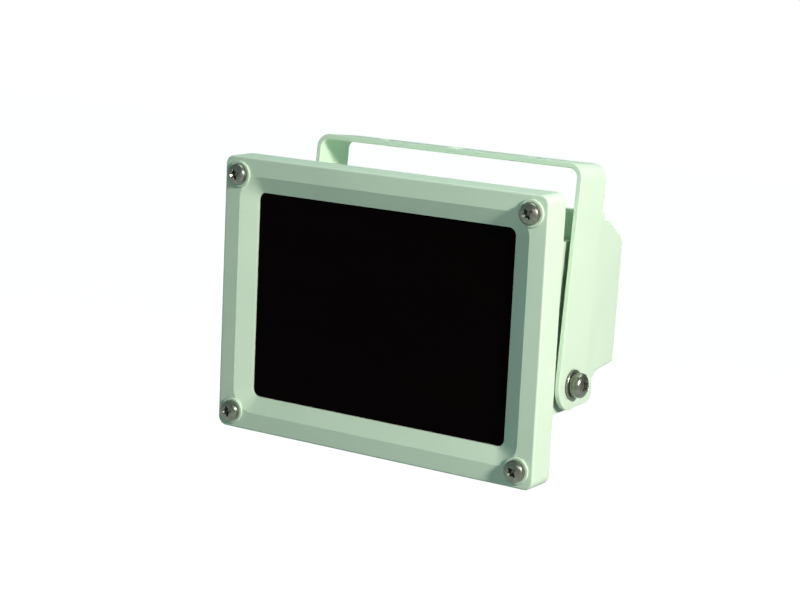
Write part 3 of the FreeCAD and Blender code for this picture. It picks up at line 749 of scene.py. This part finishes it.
@dataclass(frozen=True)
class ScrewSize:
    """Pan head screw with a cross recess and a coarse thread, in millimetres."""

    shank_radius: float
    length: float
    head_radius: float
    head_height: float
    pitch: float
    recess_width: float
    side_share: float = 0.35
    recess_reach_share: float = 0.6384
    recess_foot_share: float = 0.42
    recess_floor_share: float = 0.36
    recess_top_share: float = 1.3
    wing_top_share: float = 1.1
    wing_foot_share: float = 0.72
    core_top_share: float = 0.62
    core_foot_share: float = 0.8
    core_depth: float = 0.25
    thread_depth_share: float = 0.14
    crest_start_share: float = 0.38
    crest_end_share: float = 0.52
    tip_share: float = 0.7
    neck_share: float = 0.96
    crown_steps: int = 9
    crown_power: float = 0.62
    edge_round: float = 0.18

    def outline(self) -> list[tuple[float, float]]:
        """Radius and height of each ring of the screw, from its tip to its crown."""
        rings = [(0.0, -self.length), (self.shank_radius * self.tip_share, -self.length)]
        root = self.shank_radius * (1 - self.thread_depth_share)
        turns = int((self.length - self.pitch) / self.pitch)
        for turn in range(turns):
            height = -self.length + (turn + 0.5) * self.pitch
            rings.append((root, height))
            rings.append((self.shank_radius, height + self.crest_start_share * self.pitch))
            rings.append((self.shank_radius, height + self.crest_end_share * self.pitch))
        rings.append((self.shank_radius * self.neck_share, 0.0))
        rings.append((self.head_radius - self.edge_round, 0.0))
        rings.append((self.head_radius, self.edge_round))
        side = self.head_height * self.side_share
        rings.append((self.head_radius, side - self.edge_round))
        rise = self.head_height - side
        for step in range(1, self.crown_steps):
            angle = math.pi / 2 * step / self.crown_steps
            radius = self.head_radius * math.cos(angle) ** self.crown_power
            rings.append((radius, side + rise * math.sin(angle)))
        rings.append((0.0, self.head_height))
        return rings

    def recess(self, turn_deg: float) -> list[Solid]:
        """Solids that cut the cross recess.

        Args:
            turn_deg: Turn of the cross about the screw's axis.

        Returns:
            Two tapered wings and the cone between them.
        """
        top = self.head_height * self.recess_top_share
        floor = self.head_height * self.recess_floor_share
        reach = self.head_radius * self.recess_reach_share
        low_reach = reach * self.recess_foot_share
        half = self.recess_width / 2 * self.wing_top_share
        low_half = self.recess_width / 2 * self.wing_foot_share
        solids = []
        for extra in (0, 90):
            turn = Matrix.Rotation(math.radians(turn_deg + extra), 3, "Z")
            corners = []
            for sx in (-1, 1):
                for sy in (-1, 1):
                    corners.append(turn @ Vector((sx * reach, sy * half, top)))
                    corners.append(turn @ Vector((sx * low_reach, sy * low_half, floor)))
            solids.append(Solid.hull(corners))
        core = [
            (0, floor - self.core_depth),
            (low_reach * self.core_foot_share, floor),
            (reach * self.core_top_share, top),
            (0, top),
        ]
        solids.append(Solid.turned(core, 20))
        return solids

    def solid(self, turn_deg: float) -> Solid:
        """The whole screw.

        Args:
            turn_deg: Turn of the cross about the screw's axis.

        Returns:
            The screw with its recess cut.
        """
        screw = Solid.turned(self.outline())
        for tool in self.recess(turn_deg):
            screw.cut(tool)
        return screw


@dataclass(frozen=True)
class Kit:
    """What every sub-assembly needs: where the lamp hangs and its paints."""

    hang: Hang
    paints: Paintbox

    def dress(self, *nodes: str) -> None:
        """Give CAD nodes the finish of their own slots.

        Args:
            *nodes: Names of the nodes.
        """
        slots = {part["node"]: part["material_slot"] for part in frame["record"]["subparts"]}
        for node in nodes:
            data = frame["nodes"][node].data
            data.materials.clear()
            data.materials.append(self.paints.material(slots[node]))
            LOG.info("%-26s dressed as %s", node, slots[node])

    def stand_in(self, made: bpy.types.Object, node: str, slot: Slot) -> None:
        """Let a piece take a CAD node's place on its body.

        Args:
            made: The piece.
            node: The node that it stands for.
            slot: The slot that it takes its finish from.
        """
        made.data.materials.append(self.paints.material(slot.name))
        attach(made, "housing")
        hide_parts(node)
        LOG.info("%-26s built for %s in %s", made.name, node, slot.name)

    def fasten(
        self,
        word: str,
        screw: ScrewSize,
        places_mm: Sequence[Point],
        turns_deg: Sequence[float],
        facing: Facing,
    ) -> None:
        """Build the screws of one part.

        Args:
            word: The part's word in the names of the screws.
            screw: Size of the screws.
            places_mm: Seat of each head in the lamp's own axes.
            turns_deg: Turn of each screw's cross.
            facing: Where the heads point.
        """
        for number, (place, turn) in enumerate(zip(places_mm, turns_deg), 1):
            seat = self.hang.seat(place, facing)
            made = screw.solid(turn).piece(f"{word}_fastener_{number}", seat)
            self.stand_in(made, f"{word}_screw_{number}", Slot.steel_fastener)


# Sub-assemblies


@dataclass
class Bezel:
    """Cast front frame with its window, seal and four corner screws."""

    kit: Kit
    half_width_mm: float = 70.0
    half_height_mm: float = 52.7
    screw_inset_mm: float = 6.7
    pad_height_mm: float = 0.8
    screw: ScrewSize = ScrewSize(2.0, 12.0, 4.0, 2.8, 0.7, 1.05)
    turns_deg: tuple[float, ...] = (18.0, 33.0, 40.0, 12.0)

    def build(self) -> None:
        """Dress the castings and build the screws."""
        self.kit.dress("front_bezel", "filter_window", "window_seal")
        x = self.half_width_mm - self.screw_inset_mm
        z = self.half_height_mm - self.screw_inset_mm
        y = -self.pad_height_mm
        places = ((-x, y, z), (x, y, z), (x, y, -z), (-x, y, -z))
        self.kit.fasten("bezel", self.screw, places, self.turns_deg, Facing.FRONT)


@dataclass
class Housing:
    """Cast body with its rear cover, cover seal and cover screws."""

    kit: Kit
    screw_x_mm: float = 42.5
    screw_rise_mm: float = 16.5
    screw_drop_mm: float = 17.5
    head_seat_mm: float = 95.0129
    screw: ScrewSize = ScrewSize(2.0, 20.0, 4.0, 2.8, 0.7, 1.05)
    turns_deg: tuple[float, ...] = (18.0, 33.0, 40.0, 12.0)

    def build(self) -> None:
        """Dress the castings and build the screws."""
        self.kit.dress("main_housing", "rear_cover", "cover_seal")
        x, y, up, down = self.screw_x_mm, self.head_seat_mm, self.screw_rise_mm, -self.screw_drop_mm
        places = ((-x, y, up), (x, y, up), (x, y, down), (-x, y, down))
        self.kit.fasten("cover", self.screw, places, self.turns_deg, Facing.BACK)


@dataclass
class Pivots:
    """Screw, lock washer, flat washer and spacer at each side."""

    kit: Kit
    arm_face_mm: float = 59.05
    flat_radius_mm: float = 5.6
    flat_thickness_mm: float = 1.0
    lock_radius_mm: float = 4.5
    lock_thickness_mm: float = 1.25
    bore_mm: float = 2.65
    split_deg: float = 14.0
    chamfer_mm: float = 0.15
    flat_steps: int = 72
    lock_steps: int = 64
    screw: ScrewSize = ScrewSize(2.5, 20.0, 4.75, 3.5, 0.8, 1.25)
    turn_deg: float = 33.0

    def flat_ring(self) -> Solid:
        """Flat washer with chamfered rims."""
        c, radius, thickness = self.chamfer_mm, self.flat_radius_mm, self.flat_thickness_mm
        section = [
            (self.bore_mm, 0.0),
            (radius - c, 0.0),
            (radius, c),
            (radius, thickness - c),
            (radius - c, thickness),
            (self.bore_mm, thickness),
        ]
        return self._sweep(section, self.flat_steps, 0.0, 0.0)

    def spring_ring(self) -> Solid:
        """Lock washer, split and set slightly like a helix."""
        c = self.chamfer_mm
        section = [
            (self.bore_mm, c),
            (self.lock_radius_mm - c, 0.0),
            (self.lock_radius_mm, c),
            (self.lock_radius_mm, self.lock_thickness_mm - 2 * c),
            (self.lock_radius_mm - c, self.lock_thickness_mm - c),
            (self.bore_mm, self.lock_thickness_mm - c),
        ]
        return self._sweep(section, self.lock_steps, self.split_deg, c)

    @staticmethod
    def _sweep(
        section: Sequence[tuple[float, float]], steps: int, split_deg: float, rise: float
    ) -> Solid:
        """Sweep a section round the axis.

        Args:
            section: Radius and height of the section's corners.
            steps: Stations round the axis.
            split_deg: Angle left open, or 0 for a closed ring.
            rise: How far the last station stands above the first.

        Returns:
            The ring.
        """
        solid = Solid()
        rings = []
        stations = steps + (1 if split_deg else 0)
        for step in range(stations):
            share = step / steps
            angle = math.radians(split_deg / 2 + (360 - split_deg) * share)
            across, along, lift = math.cos(angle), math.sin(angle), rise * share
            ring = [solid.mesh.verts.new((r * across, r * along, z + lift)) for r, z in section]
            rings.append(ring)
        last = len(rings) - 1 if split_deg else len(rings)
        for step in range(last):
            first, second = rings[step], rings[(step + 1) % len(rings)]
            for corner in range(len(section)):
                after = (corner + 1) % len(section)
                solid.mesh.faces.new(
                    (first[corner], first[after], second[after], second[corner])
                )
        if split_deg:
            solid.mesh.faces.new(rings[0])
            solid.mesh.faces.new(list(reversed(rings[-1])))
        return solid

    def build(self) -> None:
        """Build the stack at each side and dress the spacers."""
        hang = self.kit.hang
        for word, side, facing in (("left", -1, Facing.LEFT), ("right", 1, Facing.RIGHT)):
            flat_x = self.arm_face_mm
            lock_x = flat_x + self.flat_thickness_mm
            head_x = lock_x + self.lock_thickness_mm
            stack = (
                ("flat_washer", flat_x, self.flat_ring()),
                ("lock_washer", lock_x, self.spring_ring()),
                ("screw", head_x, self.screw.solid(self.turn_deg)),
            )
            for part, x, solid in stack:
                place = (side * x, hang.pivot_back_mm, -hang.pivot_below_mm)
                made = solid.piece(f"tilt_{part}_{word}", hang.seat(place, facing))
                self.kit.stand_in(made, f"pivot_{part}_{word}", Slot.steel_fastener)
            self.kit.dress(f"pivot_spacer_{word}")


@dataclass
class Gland:
    """Cable gland in the rear cover."""

    kit: Kit
    nodes: tuple[str, ...] = ("gland_body", "gland_bung", "gland_cap", "gland_locknut")

    def build(self) -> None:
        """Dress the gland's pieces."""
        self.kit.dress(*self.nodes)


@dataclass
class LightEngine:
    """Emitters on their board, with the lens plate, the spreader and the sensor."""

    kit: Kit
    emitters: int = 12
    screws: int = 4
    nodes: tuple[str, ...] = (
        "lens_plate",
        "led_board",
        "heat_spreader",
        "light_sensor",
        "led_lead_positive",
        "led_lead_negative",
    )

    def build(self) -> None:
        """Dress the engine's pieces."""
        self.kit.dress(*self.nodes)
        self.kit.dress(*(f"led_{number + 1:02d}" for number in range(self.emitters)))
        self.kit.dress(*(f"board_screw_{number + 1}" for number in range(self.screws)))


@dataclass
class Driver:
    """Driver board behind the bulkhead with its larger parts."""

    kit: Kit
    screws: int = 4
    nodes: tuple[str, ...] = (
        "driver_board",
        "driver_choke",
        "input_capacitor",
        "output_capacitor",
        "driver_regulator",
        "terminal_block",
    )

    def build(self) -> None:
        """Dress the board and its parts."""
        self.kit.dress(*self.nodes)
        self.kit.dress(*(f"driver_screw_{number + 1}" for number in range(self.screws)))


@dataclass
class Bracket:
    """Folded strap that the lamp hangs in."""

    kit: Kit

    def build(self) -> None:
        """Dress the strap."""
        self.kit.dress("bracket")


@dataclass(frozen=True)
class Lamp:
    """Square soft lamp that the camera doesn't see."""

    name: str
    place: Point
    aim: Point
    width: float
    power: float
    colour: Colour

    def light(self) -> None:
        """Put the lamp in the scene."""
        data = bpy.data.lights.new(self.name, "AREA")
        data.size = self.width
        data.energy = self.power
        data.color = self.colour
        lamp = bpy.data.objects.new(self.name, data)
        lamp.location = self.place
        lamp.visible_camera = False
        lamp.rotation_mode = "QUATERNION"
        towards = Vector(self.aim) - Vector(self.place)
        lamp.rotation_quaternion = towards.to_track_quat("-Z", "Y")
        bpy.context.scene.collection.objects.link(lamp)


@dataclass
class Studio:
    """Floor, lamps, world and camera."""

    azimuth_deg: float = 32.049
    elevation_deg: float = 6.296
    roll_deg: float = 5.613
    eye: Point = (0.394381, -0.661535, 0.024547)
    lens_mm: float = 90.2
    sensor_mm: float = 36.0
    nearest: float = 0.02
    farthest: float = 60.0
    floor_level: float = -0.42
    floor_reach: float = 12.0
    floor_colour: Colour = (0.3, 0.34, 0.34)
    floor_glow: float = 0.96
    floor_in_gloss: float = 0.4
    world_in_gloss: float = 0.12
    ambient_left: Colour = (0.155, 0.27, 0.28)
    ambient_right: Colour = (0.05, 0.065, 0.06)
    lamps: tuple[Lamp, ...] = (
        Lamp("key", (0.77, -0.32, 0.27), (0.0, 0.0, -0.04), 0.12, 8.75, (1.0, 0.91, 0.87)),
        Lamp("fill", (0.18, -0.33, 0.04), (0.02, 0.0, -0.02), 0.1, 0.12, (0.87, 1.0, 0.95)),
        Lamp("over", (0.1, 0.3, 1.1), (0.0, 0.0, -0.06), 0.8, 5.0, (0.92, 1.0, 0.96)),
        Lamp("rear", (-0.45, 1.3, -0.16), (0.0, 0.0, -0.06), 0.4, 10.0, (1.0, 1.0, 0.97)),
    )

    def build(self) -> None:
        """Make the whole studio."""
        self._camera()
        self._floor()
        self._world()
        for lamp in self.lamps:
            lamp.light()

    def _camera(self) -> None:
        """Camera at the photograph's viewpoint."""
        azimuth, elevation = math.radians(self.azimuth_deg), math.radians(self.elevation_deg)
        flat = math.cos(elevation)
        back = Vector((math.sin(azimuth) * flat, -math.cos(azimuth) * flat, math.sin(elevation)))
        right = Vector((0, 0, 1)).cross(back).normalized()
        turn = Matrix((right, back.cross(right), back)).transposed().to_4x4()
        turn = turn @ Matrix.Rotation(math.radians(self.roll_deg), 4, "Z")
        data = bpy.data.cameras.new("camera")
        data.lens = self.lens_mm
        data.sensor_width = self.sensor_mm
        data.clip_start = self.nearest
        data.clip_end = self.farthest
        camera = bpy.data.objects.new("camera", data)
        camera.matrix_world = Matrix.Translation(self.eye) @ turn
        bpy.context.scene.collection.objects.link(camera)
        bpy.context.scene.camera = camera

    def _floor(self) -> None:
        """Wide pale floor that takes shadows and shows white to the camera."""
        mesh = bmesh.new()
        bmesh.ops.create_grid(mesh, x_segments=4, y_segments=4, size=self.floor_reach)
        mesh.transform(Matrix.Translation((0, 0, self.floor_level)))
        data = bpy.data.meshes.new("floor")
        mesh.to_mesh(data)
        mesh.free()
        floor = bpy.data.objects.new("floor", data)
        bpy.context.scene.collection.objects.link(floor)
        material = bpy.data.materials.new("floor")
        graph = Graph(material)
        matt = graph.node("ShaderNodeBsdfDiffuse", None, {"Color": (*self.floor_colour, 1.0)})
        seen = self._seen(graph, self.floor_in_gloss) * self.floor_glow
        glow = graph.node("ShaderNodeEmission", None, {"Strength": seen})
        both = graph.node("ShaderNodeAddShader", None, {0: matt, 1: glow})
        graph.node("ShaderNodeOutputMaterial", None, {"Surface": both})
        data.materials.append(material)

    @staticmethod
    def _seen(graph: Graph, mirrored: float) -> Signal:
        """Level that is 1 for what the camera sees directly or through glass.

        Args:
            graph: The graph that takes the nodes.
            mirrored: The level for what it sees in gloss.

        Returns:
            The level.
        """
        camera = graph.node("ShaderNodeLightPath", output="Is Camera Ray")
        gloss = graph.node("ShaderNodeLightPath", output="Is Glossy Ray")
        glass = graph.node("ShaderNodeLightPath", output="Is Transmission Ray")
        return camera.larger(gloss * mirrored).larger(glass)

    def _world(self) -> None:
        """Soft light, stronger from the left, from a surround that is seen as white."""
        world = bpy.data.worlds.new("world")
        bpy.context.scene.world = world
        graph = Graph(world)
        direction = graph.node("ShaderNodeTexCoord", output="Generated")
        across = graph.node("ShaderNodeSeparateXYZ", None, {"Vector": direction}, "X")
        ambient = graph.blend(0.5 + 0.5 * across, self.ambient_left, self.ambient_right)
        colour = graph.blend(self._seen(graph, self.world_in_gloss), ambient, (1.0, 1.0, 1.0))
        shown = graph.node("ShaderNodeBackground", None, {"Color": colour, "Strength": 1.0})
        graph.node("ShaderNodeOutputWorld", None, {"Surface": shown})


def main() -> None:
    """Build the studio and every sub-assembly."""
    logging.basicConfig(level=logging.INFO, format="%(message)s", stream=sys.stdout)
    bpy.context.scene.view_settings.view_transform = "Standard"
    Studio().build()
    kit = Kit(Hang(), Paintbox())
    for assembly in (Bezel, Housing, Pivots, Gland, LightEngine, Driver, Bracket):
        assembly(kit).build()


if __name__ == "__main__":
    main()
